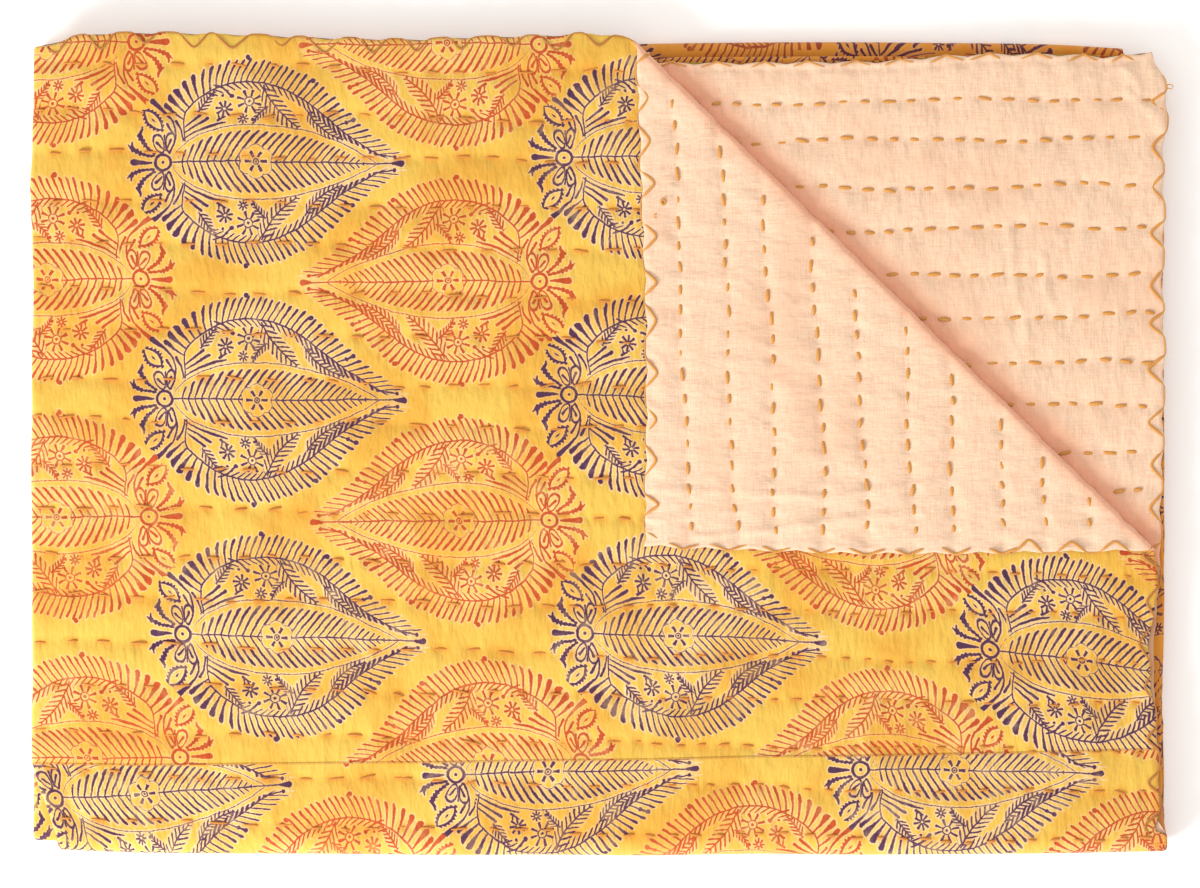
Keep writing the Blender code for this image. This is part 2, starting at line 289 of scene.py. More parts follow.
def soft_noise(seed, u, v, step_u, step_v):
    """Smooth noise from -1 to 1: random heights on a lattice, which starts 50 cells before the cloth,
    blended by the smoothstep of the place within each cell."""
    a, b = u / step_u + 50, v / step_v + 50
    i, j = a.astype(int), b.astype(int)
    heights = np.random.default_rng(seed).uniform(-1, 1, (i.max() + 2, j.max() + 2))
    f, g = a - i, b - j
    f, g = f * f * (3 - 2 * f), g * g * (3 - 2 * g)
    near = heights[i, j] * (1 - f) + heights[i + 1, j] * f
    far = heights[i, j + 1] * (1 - f) + heights[i + 1, j + 1] * f
    return near * (1 - g) + far * g


# The running stitches: the rows, how long the stitches are in mm on the printed side and on the plain
# one, how far in from the hems they start and stop, and how their places are stretched.
ROWS = 38
PRINTED_STITCHES = (5.0, 8.5)
PLAIN_STITCHES = (5.8, 9.8)
FIRST_MARGIN, LAST_MARGIN = 6 * MM, 5 * MM
STRETCH_FROM = (0, 0.36, 0.87, 1.47)
STRETCH_TO = (0, 0.36, 1.10, 1.70)


def row_stitches(k):
    """Where row k's running stitches start and how long they are: the ones on the printed side, and
    the ones on the plain side between them. In the cloth's middle they are half as long again."""
    rng = np.random.default_rng(100 + k)
    steps = np.column_stack((rng.uniform(*PRINTED_STITCHES, 120), rng.uniform(*PLAIN_STITCHES, 120)))
    ends = FIRST_MARGIN + rng.uniform(0, 7 * MM) + np.append(0, np.cumsum(steps.ravel() * MM))
    ends = np.interp(ends, STRETCH_FROM, STRETCH_TO)
    starts, steps = ends[:-1], np.diff(ends)
    kept = starts + steps < WIDTH - LAST_MARGIN
    return (starts[kept][0::2], steps[kept][0::2]), (starts[kept][1::2], steps[kept][1::2])


def held_table():
    """For each row, a millimetre at a time: 1 where the thread is on the printed side and 0 where
    it is on the plain side, rounded off over 3 mm."""
    table = np.zeros((ROWS, round(WIDTH / MM) + 2))
    for k in range(ROWS):
        (starts, lengths), _ = row_stitches(k)
        for start, length in zip(starts, lengths):
            table[k, round(start / MM) : round((start + length) / MM)] = 1
    return (np.roll(table, 1, axis=1) + table + np.roll(table, -1, axis=1)) / 3


HELD = held_table()


# Small folds in the plain back, beside its right corner and on the turned flap, through (u, v) places
# in metres: their height in mm and their spread.
FOLD_RISE = 1.2
FOLD_SPREAD = 2.6 * MM
SMALL_FOLDS = (
    ((1.4748, 0.0125), (1.4800, 0.0190), (1.4841, 0.0330)),
    ((1.4755, 0.0334), (1.4848, 0.0427), (1.4934, 0.0513), (1.4981, 0.0613)),
    ((1.3990, 0.1300), (1.4020, 0.1700), (1.4100, 0.2000)),
    ((1.4200, 0.1450), (1.4240, 0.1750)),
    ((0.0530, 0.0080), (0.0490, 0.0650), (0.0450, 0.1250), (0.0530, 0.1900)),
    ((0.0130, 0.0350), (0.0200, 0.0850), (0.0290, 0.1400), (0.0330, 0.1850)),
)


def small_folds(u, v):
    """Ridges along the folds, in mm: a normal curve of the distance from each straight part."""
    height = np.zeros(len(u))
    for places in SMALL_FOLDS:
        for (au, av), (bu, bv) in zip(places, places[1:]):
            du, dv = bu - au, bv - av
            t = np.clip(((u - au) * du + (v - av) * dv) / (du**2 + dv**2), 0, 1)
            off = np.hypot(u - au - t * du, v - av - t * dv)
            height = np.maximum(height, np.exp(-((off / FOLD_SPREAD) ** 2)))
    return FOLD_RISE * height


def pulled(u, v, side):
    """How far off the nearest row is, and how much a stitch on this side holds the cloth there."""
    row, off = nearest_row(u, v)
    held = HELD[np.clip(row, 0, ROWS - 1), np.clip(np.round(u / MM), 0, HELD.shape[1] - 1).astype(int)]
    return off, held if side > 0 else 1 - held


# The cloth's relief: how far in from a hem it is rounded, how far a row gathers it and how wide its
# groove is, the line of an older fold, u at v = 0, its slope and its spread, the part of the bottom
# leaf with relief of its own, and how far the relief takes to fade out.
HEM_ROUND = 3 * MM
GATHER_REACH = 6 * MM
GROOVE_WIDTH = 3.2 * MM
OLD_FOLD = (0.391, 0.03, 2.2 * MM)
BOTTOM_START, BOTTOM_END = 0.57, 1.07
RELIEF_FADE = 10 * MM


def skin(u, v, side):
    """How far a cloth's outer surface lies from the middle of the quilt: half its thickness, less
    near a hem, where the cloths are turned in and meet in a half round. Added to that, in mm, are a
    groove along each row, deeper under its stitches, the crinkles that the thread gathers across
    it, soft waves and the dent of the older fold. Leaves that can't be seen stay smooth, and the
    bottom leaf's relief is shallower and sunk, so that it keeps off the surface it lies on."""
    hem = np.minimum(np.minimum(u, WIDTH - u), np.minimum(v, LENGTH - v))
    e = np.clip(hem / HEM_ROUND, 0, 1)
    rounded = np.sqrt(np.clip(1 - (1 - e) ** 2, 0, 1))
    off, held = pulled(u, v, side)
    near = np.exp(-((off / GATHER_REACH) ** 2))
    groove = -(0.35 + 0.45 * held) * np.exp(-((off / GROOVE_WIDTH) ** 2))
    crinkle = soft_noise(3 + side, u, v, 6 * MM, 15 * MM) * (0.28 + 0.55 * near)
    soft = 0.42 * soft_noise(7 + side, u, v, 21 * MM, 12 * MM)
    place, slope, spread = OLD_FOLD
    dent = -0.5 * np.exp(-(((u - place - slope * v) / spread) ** 2)) * (side > 0)
    shape = groove + crinkle + soft + dent
    if side < 0:
        shape = shape + small_folds(u, v)
    top = np.clip((TOP_LEAF - v) / RELIEF_FADE, 0, 1)
    bottom = np.clip(np.minimum(v - BOTTOM_START, BOTTOM_END - v) / RELIEF_FADE, 0, 1)
    bottom = bottom * (side > 0) * (u < WIDTH / 2)
    shown = np.where(u < WIDTH / 2, 1, 1 if side < 0 else 0.2) * top
    shape = np.maximum(shape * shown + (0.6 * shape - 0.35) * bottom, -0.9)
    return (QUILT / 2 + shape * MM) * rounded


def new_piece(name, places, tris, map_name, map_places):
    """A smooth piece from its corners, its triangles and the place of each corner on its UV map."""
    mesh = bpy.data.meshes.new(name)
    mesh.vertices.add(len(places))
    mesh.vertices.foreach_set("co", places.astype(np.float32).ravel())
    mesh.loops.add(tris.size)
    mesh.loops.foreach_set("vertex_index", tris.ravel().astype(np.int32))
    mesh.polygons.add(len(tris))
    mesh.polygons.foreach_set("loop_start", np.arange(0, tris.size, 3, dtype=np.int32))
    mesh.polygons.foreach_set("use_smooth", np.ones(len(tris), bool))
    layer = mesh.uv_layers.new(name=map_name)
    layer.data.foreach_set("uv", map_places[tris.ravel()].ravel())
    mesh.update(calc_edges=True)
    mesh.validate()
    piece = bpy.data.objects.new(name, mesh)
    bpy.context.collection.objects.link(piece)
    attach(piece, "root")
    return piece


# The seam between the two panels: its place along the cloth at u = 0 and its slope. Of a cloth's
# lines, the one nearest SEAM_NEAR is drawn onto it, and those within SEAM_REACH of that one follow.
SEAM_START, SEAM_SLOPE = 0.4735, 0.0145
SEAM_NEAR = 0.48
SEAM_REACH = 0.04
# How far the painted shade round each stitch spreads.
STITCH_SHADE_SPREAD = 2.4 * MM


def seam_line(u):
    """Where the seam between the two panels lies along the cloth."""
    return SEAM_START + SEAM_SLOPE * u


def cloth(name, u, v, side):
    """A cloth's surface as a grid of the u and v lines, folded, with the line nearest the seam drawn
    onto it. Its UV map is the flat cloth in metres, and it stores, as the mask of the painted shade
    round the stitches, how firmly the stitches hold it: a normal curve of the distance from each."""
    grid_u, grid_v = (g.ravel() for g in np.meshgrid(u, v, indexing="ij"))
    seam = v[np.argmin(np.abs(v - SEAM_NEAR))]
    moved = np.clip(1 - np.abs(grid_v - seam) / SEAM_REACH, 0, 1)
    grid_v = grid_v + (seam_line(grid_u) - seam) * moved
    places = fold(grid_u, grid_v, side * skin(grid_u, grid_v, side))
    nu, nv = len(u), len(v)
    i, j = (g.ravel() for g in np.meshgrid(np.arange(nu - 1), np.arange(nv - 1), indexing="ij"))
    a, b, c, d = i * nv + j, (i + 1) * nv + j, (i + 1) * nv + j + 1, i * nv + j + 1
    tris = np.concatenate((np.column_stack((a, b, d)), np.column_stack((b, c, d))))
    if side > 0:
        tris = tris[:, ::-1]
    piece = new_piece(name, places, tris, "Flat cloth", np.column_stack(trim(grid_u, grid_v)))
    off, held = pulled(grid_u, grid_v, side)
    stitch_shade = piece.data.attributes.new("Stitch shade", "FLOAT", "POINT")
    stitch_shade.data.foreach_set("value", (held * np.exp(-((off / STITCH_SHADE_SPREAD) ** 2))).astype(np.float32))
    return piece


def lines(start, end, step):
    """Places from start up to end, about a step apart, without the end."""
    return np.linspace(start, end, max(2, round((end - start) / step) + 1))[:-1]


def turns(step, bottom_step):
    """The places along the length past the top leaf: 12 to a fold, bottom_step apart on the bottom
    leaf, which can be seen from below, and a step apart on the leaves between."""
    found, start = [], TOP_LEAF
    for k, (length, radius) in enumerate(RUNS[1:]):
        flat_step = bottom_step if k == 1 else step
        found.append(lines(start, start + length, length / 12 if radius else flat_step))
        start += length
    return np.concatenate(found)


# The close lines of a rolled hem, in from it.
HEM_LINES = np.array((0, 0.35, 1.1, 2.2)) * MM


def hemmed(places, end):
    """The places with the hem's close lines before and after them."""
    return np.concatenate((HEM_LINES, places[places > 3 * MM], [end - 4 * MM], end - HEM_LINES[::-1]))


# The printed cloth's lines, close together on the leaves and turns that show, and a little closer
# along the cloth than across it.
PRINTED_STEP = 2.9 * MM
CLOSER = 1.0229
u_lines = hemmed(np.concatenate((lines(0, LEAF, PRINTED_STEP), lines(LEAF, WIDTH - LEAF, 0.5 * MM),
                                 lines(WIDTH - LEAF, WIDTH - 5 * MM, 25 * MM))), WIDTH)
v_lines = hemmed(np.concatenate((lines(0, TOP_LEAF, PRINTED_STEP / CLOSER),
                                 turns(40 * MM, 8 * MM))), LENGTH)
printed = cloth("printed_face_cloth", u_lines, v_lines, 1)
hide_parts("printed_face")


class Field:
    """A number or a vector that varies over a cloth. Arithmetic on it adds nodes to its tree."""

    def __init__(self, tree, socket):
        self.tree, self.socket = tree, socket

    def math(self, operation, *values, kind="ShaderNodeMath", out=0):
        """Adds a node for the operation: a Field is linked to it, and a number is set on it."""
        made = self.tree.nodes.new(kind)
        made.operation = operation
        for socket, value in zip(made.inputs, values):
            if isinstance(value, Field):
                self.tree.links.new(value.socket, socket)
            else:
                socket.default_value = value
        return Field(self.tree, made.outputs[out])

    def __add__(self, other):
        return self.math("ADD", self, other)

    def __sub__(self, other):
        return self.math("SUBTRACT", self, other)

    def __rsub__(self, other):
        return self.math("SUBTRACT", other, self)

    def __mul__(self, other):
        return self.math("MULTIPLY", self, other)

    def __truediv__(self, other):
        return self.math("DIVIDE", self, other)

    def __abs__(self):
        return self.math("ABSOLUTE", self)

    __radd__ = __add__
    __rmul__ = __mul__


def along(p, a, b, c):
    """a x + b y + c, as one dot product: a point is (x, y, 1)."""
    return p.math("DOT_PRODUCT", p, (a, b, c), kind="ShaderNodeVectorMath", out="Value")


def reach(p, x, y):
    """How far a point is from (x, y)."""
    return p.math("DISTANCE", p, (x, y, 1), kind="ShaderNodeVectorMath", out="Value")


def angle(p, x, y):
    return p.math("ARCTAN2", along(p, 0, 1, -y), along(p, 1, 0, -x))


def sine(a):
    return a.math("SINE", a)


def power(a, b):
    return a.math("POWER", a, b)


def exponent(a):
    return a.math("EXPONENT", a)


def root(a):
    return a.math("SQRT", a)


def part_of(a):
    return a.math("FRACT", a)


def bounded(a):
    """A number kept from 0 to 1."""
    made = a + 0.0
    made.socket.node.use_clamp = True
    return made


def between(a, start, end, low_value=0.0, high_value=1.0):
    """low_value up to start, high_value from end, and a smoothstep between."""
    made = a.tree.nodes.new("ShaderNodeMapRange")
    made.interpolation_type = "SMOOTHSTEP"
    a.tree.links.new(a.socket, made.inputs["Value"])
    for name, value in zip(("From Min", "From Max", "To Min", "To Max"),
                           (start, end, low_value, high_value)):
        made.inputs[name].default_value = value
    return Field(a.tree, made.outputs["Result"])


def low(first, *others):
    for other in others:
        first = first.math("MINIMUM", first, other)
    return first


def high(first, *others):
    for other in others:
        first = first.math("MAXIMUM", first, other)
    return first


def stroke(p, start, end, start_width, end_width):
    """How far a point is from a straight stroke whose half width goes from one end's to the
    other's: the distance to the nearest point of its middle line, less the half width there."""
    dx, dy = end[0] - start[0], end[1] - start[1]
    square = dx * dx + dy * dy
    t = bounded(along(p, dx / square, dy / square, -(dx * start[0] + dy * start[1]) / square))
    nearest = t.math("MULTIPLY_ADD", t, (dx, dy, 0), (start[0], start[1], 1), kind="ShaderNodeVectorMath")
    distance = p.math("DISTANCE", p, nearest, kind="ShaderNodeVectorMath", out="Value")
    if end_width == start_width:
        return distance - start_width
    return t.math("MULTIPLY_ADD", t, start_width - end_width, distance) - start_width


def strokes(p, rows):
    """How far a point is from each of several strokes: its ends, and its half width at each."""
    return [stroke(p, *row) for row in rows]


def ray_at(spoke, rays, turned, off):
    """How far a point is sideways from the nearest of the rays: the angle from it times off."""
    return abs(part_of(spoke * (rays / (2 * pi)) + (0.5 + turned)) - 0.5) * (2 * pi / rays) * off


def fern(p, start, end, bend, wide, pitch):
    """How far a point is from a sprig: a bent stem with barbs on both sides, leaning 45 degrees
    forward. a is the place along its chord and side the distance from its stem."""
    dx, dy = end[0] - start[0], end[1] - start[1]
    long = float(np.hypot(dx, dy))
    dx, dy = dx / long, dy / long
    a = along(p, dx, dy, -(dx * start[0] + dy * start[1]))
    b = along(p, -dy, dx, dy * start[0] - dx * start[1])
    side = abs(b - a * (bend - a * (bend / long)))
    limit = side - bounded(a / 9 + 0.3) * bounded((long + 6 - a) / 18 + 0.1) * wide
    barb = abs(part_of((a - side) / pitch) - 0.5) * (pitch * 0.7)
    barb = barb - (side * 0.03 + 0.45) * root(bounded(limit * -0.8))
    return low(high(barb, limit, 0 - a, a - (long + 4)), high(side - 0.55, 0 - a, a - (long + 2)))


def leaf_head(p):
    """A ring with a dot, a drop behind it, and on each side two toothed hooks, a small toothed
    leaf, two looped petals with a drop in each, and the stems that curve out past them."""
    ring = reach(p, 0, 0)
    bow = reach(p, -18, 27)
    ink = [abs(ring - 7.7) - 1.15, ring - 1.3]
    ink.append(high(abs(bow - 30) - 0.65, along(p, -0.9, 0.5, -16), along(p, 0, -1, 9.5)))
    teeth = 3.2 * abs(part_of(0.24 * ring) - 0.5)
    for start, end, start_width, end_width, toothed in (
        ((-9, 6.5), (-23, 8.8), 0.7, 0.8, 0.5),
        ((-23, 8.8), (-31.5, 13), 0.9, 1.3, 1),
        ((-8, 9), (-18.5, 17), 0.7, 1.0, 0.5),
        ((-18.5, 17), (-24.3, 26), 1.0, 1.5, 1),
        ((-24.3, 26), (-21.4, 34), 1.7, 0.3, 0.6),
    ):
        ink.append(stroke(p, start, end, start_width, end_width) - toothed * teeth)
    leaf_along = along(p, -0.716, 0.698, -37.4)
    leaf_over = along(p, 0.698, 0.716, -22.2)
    lens = abs(leaf_over) + leaf_along * leaf_along * 0.034 - 6.0
    tooth = 4.6 * abs(part_of(0.27 * leaf_along) - 0.5)
    ink += [high(abs(lens * 0.85) - 0.8, lens - 3), high(lens * 0.85 - 0.4 - tooth, 0 - lens),
            abs(leaf_over) * 1.6 + abs(leaf_along + 1) * 0.5 - 1.5]
    petals = ((-4.0, 18.2, -0.36, 0.93, 9.4, 5.7), (6.9, 19.2, 0.05, 1.0, 9.6, 4.9))
    for cx, cy, ax, ay, long, wide in petals:
        a = along(p, ax / long, ay / long, -(ax * cx + ay * cy) / long)
        b = along(p, ay / wide, -ax / wide, -(ay * cx - ax * cy) / wide) * (1.22 - 0.32 * a)
        ink.append(abs(root(a * a + b * b) - 1) * 5.4 - 0.5)
    return low(*ink, *strokes(p, (
        ((-11.5, 0), (-29.5, 0), 0.7, 3.1),
        ((9, 0), (16, 0), 0.5, 0.5),
        ((-31.5, 13), (-31.5, 19.5), 1.6, 0.4),
        ((-31.5, 13), (-35.5, 16.5), 1.4, 0.3),
        ((-6.3, 20), (-0.6, 14), 1.15, 0.5),
        ((7.4, 22), (4.4, 14.5), 1.1, 0.5),
        ((1.2, 27), (3.0, 12), 0.6, 0.6),
        ((6.0, 44.5), (-2, 52.5), 0.8, 1.4),
        ((-2, 52.5), (-12, 60.5), 1.4, 2.6),
        ((9.2, 28), (3, 38.5), 0.6, 1.1),
        ((20, 22), (17.2, 32.5), 0.6, 0.7),
        ((17.2, 32.5), (12, 41), 0.7, 1.1),
    )))


def half_leaf(x, power):
    """Half the long leaf's width: 101.5 t^0.6 (1 - t)^0.9, t from 0 at its foot to 1 at its tip."""
    part = (x - 9) / 204
    return power(part, 0.6) * power(1 - part, 0.9) * 101.5


def leaf_outline(p):
    """The long leaf's thin outline, with a thicker line outside it near the head."""
    x = along(p, 1, 0, 0)
    edge = (along(p, 0, 1, 0) - half_leaf(x, power)) * 0.93
    thick = bounded((x - 18) / 26) * bounded((64 - x) / 14) * 0.75 + 0.35
    return low(high(abs(edge) - 0.15, 10 - x, x - 213), high(abs(edge - 4.3) - thick, 19 - x, x - 62))


def leaf_middle(p):
    """The spine, its veins leaning forward on both sides and thicker at their ends, and a flower
    of six rays in a line of six lobes."""
    x, y = along(p, 1, 0, 0), along(p, 0, 1, 0)
    half = half_leaf(x, power)
    flower = reach(p, 92, 0)
    spoke = angle(p, 92, 0)
    lobes = flower - 14.0 - 2.8 * abs(sine(3 * spoke))
    slant = 0.27 + 0.0042 * x
    spaced = x - 20 * exponent(x * -0.05) + 8 * exponent(x * 0.03 - 6.4)
    vein = part_of((spaced - slant * y - 0.002 * y * y) / 7.7 + 0.12)
    rise = bounded(y / high(half - 6, 2))
    end = root(bounded((half - 6.2 - y) / 1.6))
    veins = abs(vein - 0.5) * 6.2 - (0.40 + 0.8 * rise * bounded(half / 24)) * end
    return low(
        high(veins, y - half + 6.2, 15 - x, x - 203, 0.8 - lobes),
        high(y - 0.5, 0.4 - lobes),
        abs(lobes) - 0.05,
        high(ray_at(spoke, 6, 0, flower) - 0.38 - 0.10 * flower, abs(flower - 7.7) - 2.9),
        abs(flower - 2.6) - 0.35,
        flower - 0.8,
    )


# The leaf's heart, the middle of its border: how far it is from the ring along the leaf's middle
# line, how far the border's rib is from it, and how much more at the tip.
HEART = 85
RIB, RIB_GROWTH = 80.3, 66


def leaf_feather(p):
    """The border round the long leaf: a rib, whose distance from the heart grows towards the tip,
    with clubbed strokes outside it and barbs inside it. turn is the angle round the heart, count
    goes up by 1 a stroke, and outward is the distance from the rib."""
    far_off = reach(p, HEART, 0)
    turn = 180 / pi * angle(p, HEART, 0)
    near = exponent(turn * -0.0714)
    back = between(turn, 118, 144)
    rib = RIB + RIB_GROWTH * near - 14 * between(turn, 140, 164)
    outward = (far_off - rib) / (1 + 1.6 * near * near)
    count = (150 - turn) / 4.25 + 5 * exponent(turn * -0.111) + 0.8 * bounded((turn - 118) / 29)
    swing = (turn - 99) / 30
    ahead = 0.085 * exponent(0 - swing * swing)
    uneven = sine(count * 2.4) + sine(count * 4.1)
    outer = abs(part_of(count - ahead * outward) - 0.5) * (5.7 + 0.07 * outward)
    long = 22.5 - 16 * exponent(turn * -0.075) + 2.5 * between(turn, 114, 140) + 0.8 * uneven
    grown = bounded(outward / 20)
    club = (0.5 + (0.8 + 0.9 * back) * grown * grown) * root(bounded((long - outward) / 1.5))
    ink = [high(outer - club, outward - long, 0 - outward, turn - 147, 3.2 - turn)]
    ink.append(high(abs(outward) - 0.55, turn - 162, 2.6 - turn))
    inward = 0 - outward
    lean = 0.17 + 0.12 * between(turn, 75, 20)
    inner = abs(part_of(count * 0.93 - lean * inward) - 0.5) * (5.6 - 2.6 * between(turn, 75, 20))
    reach_in = 7.2 + 0.5 * uneven - 4.5 * between(turn, 14, 6)
    barb = inner - 0.75 * root(bounded((reach_in - inward) / 1.2))
    ink.append(high(barb, outward, inward - reach_in, turn - 120, 4 - turn))
    return low(*ink)


def leaf_inside(p):
    """Between the border and the long leaf: two clubbed strokes, four sprigs and three flowers.
    Outside it: loose dots. At the tip: a drop on a stalk, between two dots."""
    sprigs = (((36, 50), (50, 69), 0.1, 5.8, 4.4), ((99, 77), (131, 36), -0.3, 9.0, 6.2),
              ((141, 52), (177, 23), -0.4, 5.6, 4.9), ((103, 56), (90, 41), -0.3, 5.0, 4.0))
    ink = [fern(p, *sprig) for sprig in sprigs]
    flowers = ((61, 53, 0.2, 0.45, 0.07, 4.9, 3.3), (85, 61, 0.4, 0.05, 0.095, 8.7, 3.4),
               (79, 43, 0, 0.55, 0, 3.4, 2.0))
    for x, y, turned, thin, wider, middle, long in flowers:
        off = reach(p, x, y)
        ray = ray_at(angle(p, x, y), 8, turned, off) - thin - wider * off
        ink.append(high(ray, abs(off - middle) - long))
    eye = reach(p, 85, 61)
    ink.append(low(abs(eye - 4.3) - 0.32, eye - 1.2))
    dots = ((83, 104, 2.3), (147.5, 81.5, 2.3), (182, 39.5, 1.8), (189.5, 42.5, 2.2),
            (68.3, 66, 1.9), (59.5, 66.3, 1.2), (231, 6.5, 1.7))
    ink += [reach(p, x, y) - wide for x, y, wide in dots]
    return low(*ink, *strokes(p, (
        ((21.5, 34.5), (38.5, 48), 0.5, 1.3),
        ((22.5, 29.5), (44.5, 43.5), 0.5, 1.4),
        ((50, 77), (59, 74.5), 0.6, 0.7),
        ((59, 74.5), (67, 67), 0.7, 0.8),
        ((88.5, 42.3), (91.5, 42.3), 1.5, 0.3),
        ((143, 79), (134, 68), 0.6, 1.0),
        ((54.5, 41), (62, 45.5), 1.1, 0.5),
        ((56, 42), (55.5, 47), 0.9, 0.4),
        ((212, 0), (230, 0), 0.4, 0.5),
        ((229, 0), (237.5, 0), 1.2, 2.9),
        ((213, 9), (230, 6.5), 0.5, 0.5),
        ((190, 0), (213, 0), 0.5, 0.4),
    )))


def noise(place, scale, detail=2, out=0):
    """Noise from 0 to 1 over a vector, or three of them with out=1."""
    made = place.tree.nodes.new("ShaderNodeTexNoise")
    made.noise_dimensions = "2D"
    made.inputs["Scale"].default_value = scale
    made.inputs["Detail"].default_value = detail
    place.tree.links.new(place.socket, made.inputs["Vector"])
    return Field(place.tree, made.outputs[out])


def blend(factor, first, second):
    """A colour from first to second as factor goes from 0 to 1."""
    made = factor.tree.nodes.new("ShaderNodeMix")
    made.data_type = "RGBA"
    factor.tree.links.new(factor.socket, made.inputs[0])
    for socket, value in ((made.inputs[6], first), (made.inputs[7], second)):
        if isinstance(value, Field):
            factor.tree.links.new(value.socket, socket)
        else:
            socket.default_value = (*value, 1)
    return Field(factor.tree, made.outputs[2])


def stretched(place, x, y):
    """A place with its coordinates multiplied, so that noise over it is drawn out."""
    return place.math("MULTIPLY", place, (x, y, 1), kind="ShaderNodeVectorMath")


def cotton_material(name, roughness, sheen):
    """A cloth material with nothing but its shader, and the flat cloth's place in metres."""
    material = bpy.data.materials.new(name)
    material.use_nodes = True
    tree = material.node_tree
    shader = tree.nodes["Principled BSDF"]
    shader.inputs["Roughness"].default_value = roughness
    shader.inputs["Specular IOR Level"].default_value = 0.25
    shader.inputs["Sheen Weight"].default_value = sheen
    shader.inputs["Sheen Roughness"].default_value = 0.5
    flat = tree.nodes.new("ShaderNodeUVMap")
    flat.uv_map = "Flat cloth"
    return material, Field(tree, flat.outputs["UV"])


def finish_cotton(material, colour, height, depth):
    """Joins a colour and a bump height, in shares of depth, to the material's shader."""
    tree = material.node_tree
    shader = tree.nodes["Principled BSDF"]
    bump = tree.nodes.new("ShaderNodeBump")
    bump.inputs["Strength"].default_value = 1
    bump.inputs["Distance"].default_value = depth
    tree.links.new(height.socket, bump.inputs["Height"])
    tree.links.new(bump.outputs["Normal"], shader.inputs["Normal"])
    tree.links.new(colour.socket, shader.inputs["Base Color"])


def weave(place, fine, drawn_out):
    """Threads of uneven thickness, 0 to 1: noise with fine cells to a metre one way and drawn_out
    cells the other way, plus the same turned a quarter."""
    return (noise(stretched(place, fine, drawn_out), 1, 1)
            + noise(stretched(place, drawn_out, fine), 1, 1)) * 0.5


def crumple(place):
    """The small creases that washing leaves across the rows, 0 to 1."""
    return noise(stretched(place, 220, 115), 1, 3)


def pucker(place):
    """The little ridges that the thread gathers across the rows: noise drawn out along the cloth's
    length, folded over at its middle value so that it has sharp crests."""
    return 1 - abs(noise(stretched(place, 125, 42), 1, 2) - 0.5) * 4


# ORANGE, DEEP_ORANGE, BROWN and DARK_RED are painted shade: round the stitches, by the hems and far
# folds, beside the far fold's crest and along the seam, and on the ink there.
YELLOW = (0.680, 0.430, 0.070)
DEEP_YELLOW = (0.640, 0.335, 0.042)
PALE = (0.770, 0.530, 0.300)
ORANGE = (0.660, 0.240, 0.020)
DEEP_ORANGE = (0.620, 0.190, 0.016)
BROWN = (0.340, 0.095, 0.012)
DARK_RED = (0.110, 0.016, 0.008)
NAVY = (0.070, 0.022, 0.058)
CORAL = (0.445, 0.064, 0.011)

# The print's unit, the pile's middle in that unit, counted from beyond its far left corner, and how
# far apart the navy blocks lie, across and along the cloth. A block's own count starts at its leaf's
# ring, HEART units from its middle, and an ellipse round a point 19 units on from the middle bounds it.
PRINT = 0.6642 * MM
PRINT_MIDDLE = (598.9, 444.85)
WIDE, HIGH = 401, 238
LEAF_ELLIPSE = (19, 137, 106)


def wrapped(a, span):
    """a less the nearest whole number of spans, and that number."""
    number = np.round(a / span)
    return a - number * span, number


def lattice_place(u, v, second):
    """A point's place in print units, counted from the first navy block of its panel. The printer
    drifts: on the first panel the columns slip sideways towards the near fold, and the rows slip
    back towards the right, as the square of the distance, and the second panel's rows climb in a
    slow curve."""
    across = PRINT_MIDDLE[0] + (0.37462 - u) / PRINT
    down = PRINT_MIDDLE[1] + (v - TOP_HEM) / PRINT
    late, right = np.maximum(down - 235, 0), np.maximum(across - 650, 0)
    column = np.where(second, 0.987 * across - 132.6, across - 1.3e-4 * late**2 - 248)
    row = np.where(second, down + 0.0954 * across - 6.2e-5 * across**2 - 803,
                   down - 1.4e-4 * right**2 - 159)
    return column, row


def blocks(u, v, mid_u, mid_v):
    """Where each corner of a face lies on its own printing block, in print units from the block's
    ring, whether the block is coral, and how much ink it took. Navy blocks lie at the crossings of
    a lattice and point right; coral ones lie midway between them and point left. A face takes the
    block whose ellipse is nearer. Each block is set down a little off, some rows more than others,
    and turned a little by hand."""
    second = mid_v > seam_line(mid_u)
    column, row = lattice_place(mid_u, mid_v, second)
    corner_column, corner_row = lattice_place(u, v, second)
    navy_x, navy_i = wrapped(column, WIDE)
    navy_y, navy_j = wrapped(row, HIGH)
    coral_x, coral_i = wrapped(column + WIDE / 2 - 8, WIDE)
    coral_y, coral_j = wrapped(row + HIGH / 2, HIGH)
    middle, long, wide = LEAF_ELLIPSE
    coral = (((navy_x - middle) / long) ** 2 + (navy_y / wide) ** 2
             > ((-coral_x - middle) / long) ** 2 + (coral_y / wide) ** 2)
    i, j = np.where(coral, coral_i - 0.5, navy_i), np.where(coral, coral_j - 0.5, navy_j)
    first_coral = coral & ~second
    low_row, top_row = first_coral & (j > 2), first_coral & (j < 0)
    x = corner_column - i * WIDE - 8 * coral - 6 * low_row + 3 * top_row
    y = corner_row - j * HIGH - 5 * low_row - 4 * (first_coral & ((i > 0) | (j < 0)))
    y = y - 2 * (~coral & (i == 0))
    x = np.where(coral, -x, x)
    which = (2 * i + 41 * (2 * j) + 977 * second + 400).astype(int)
    luck = np.random.default_rng(5).uniform(-1, 1, (4, 4000))[:, which]
    tilt = np.where(second, 0, 0.010 + 0.018 * (j > 1.8)) + 0.006 * luck[0]
    x, y = x + tilt * y + 1.5 * luck[1], y - tilt * x + 1.5 * luck[2]
    return x + HEART, y, coral, luck[3]


# Where the leaf's head ends and its middle starts, from the ring, and how far ink reaches round the
# ring and outside the rib.
HEAD_END, MIDDLE_START = 20.5, 13
HEAD_REACH, BORDER_REACH = 70, 32


